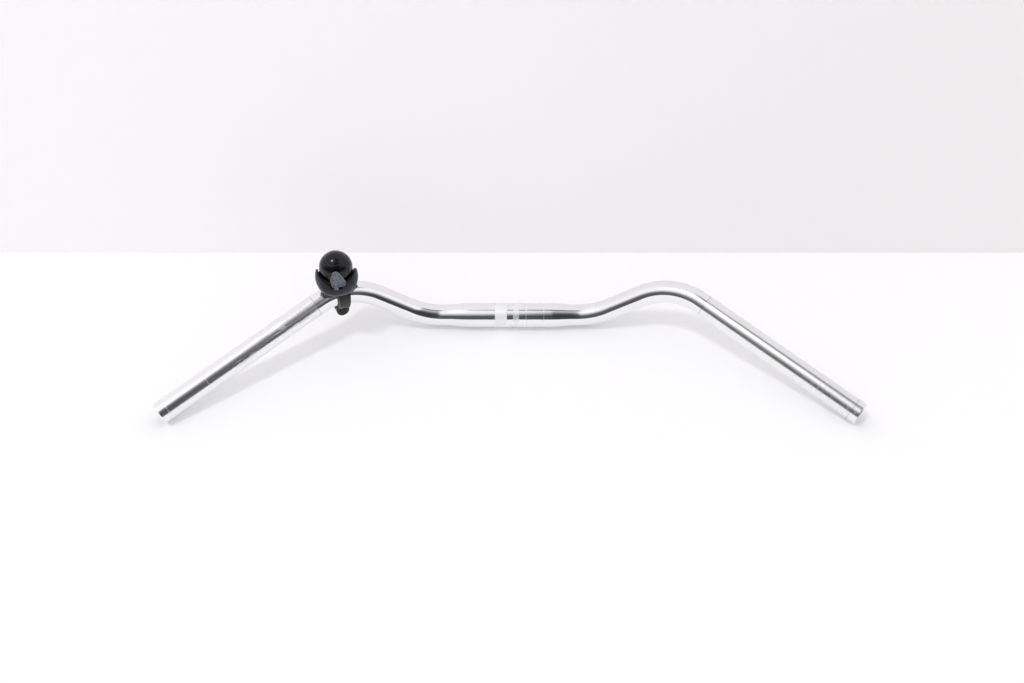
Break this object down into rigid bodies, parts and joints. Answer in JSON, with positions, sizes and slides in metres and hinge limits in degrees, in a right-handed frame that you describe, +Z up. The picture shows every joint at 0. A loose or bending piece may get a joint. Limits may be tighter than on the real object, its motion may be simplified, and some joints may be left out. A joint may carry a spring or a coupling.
{
  "type": "bicycle handlebar",
  "caption": "swept-back riser bicycle handlebar of polished aluminium tube with a swelled stem clamp zone, plain grip ends and a small flick bell on the left bend",
  "frame": {"origin": "middle of the stem clamp zone, on the tube's axis", "axes": "+X to the rider's right along the bar, +Y forwards away from the rider, +Z up; the bar lies with its clamp zone and both ends on the plane z = -0.0127"},
  "size_m": [0.6774, 0.1551, 0.1043],
  "materials": {
    "polished_aluminium": "mirror polished, with fine turned scratches on the grip zones",
    "liner_rubber": "matt",
    "black_plastic": "satin",
    "slate_plastic": "satin dark blue grey",
    "grey_plastic": "satin mid grey",
    "black_paint": "gloss",
    "plated_steel": "bright zinc plate",
    "bush_brass": "turned"
  },
  "bodies": {
    "bar": {"handlebar": "polished_aluminium", "clamp_liner": "liner_rubber", "clamp_band": "black_plastic", "clamp_screw": "plated_steel", "clamp_nut": "plated_steel", "bell_base": "slate_plastic", "centre_screw": "plated_steel", "hub_washer": "liner_rubber", "dome_bush": "bush_brass", "dome": "black_paint", "pivot_pin": "plated_steel", "pivot_clip": "plated_steel", "striker_spring": "plated_steel"},
    "striker": {"striker_lever": "grey_plastic", "hammer": "plated_steel"}
  },
  "joints": [
    {"name": "striker_swing", "type": "hinge", "parent": "bar", "child": "striker", "pos_m": [-0.16973, -0.01925, 0.06601], "axis": [0.0548, -0.0184, 0.9983], "range_deg": [-18, 4.2], "stiffness_Nm_per_rad": 0.02}
  ]
}
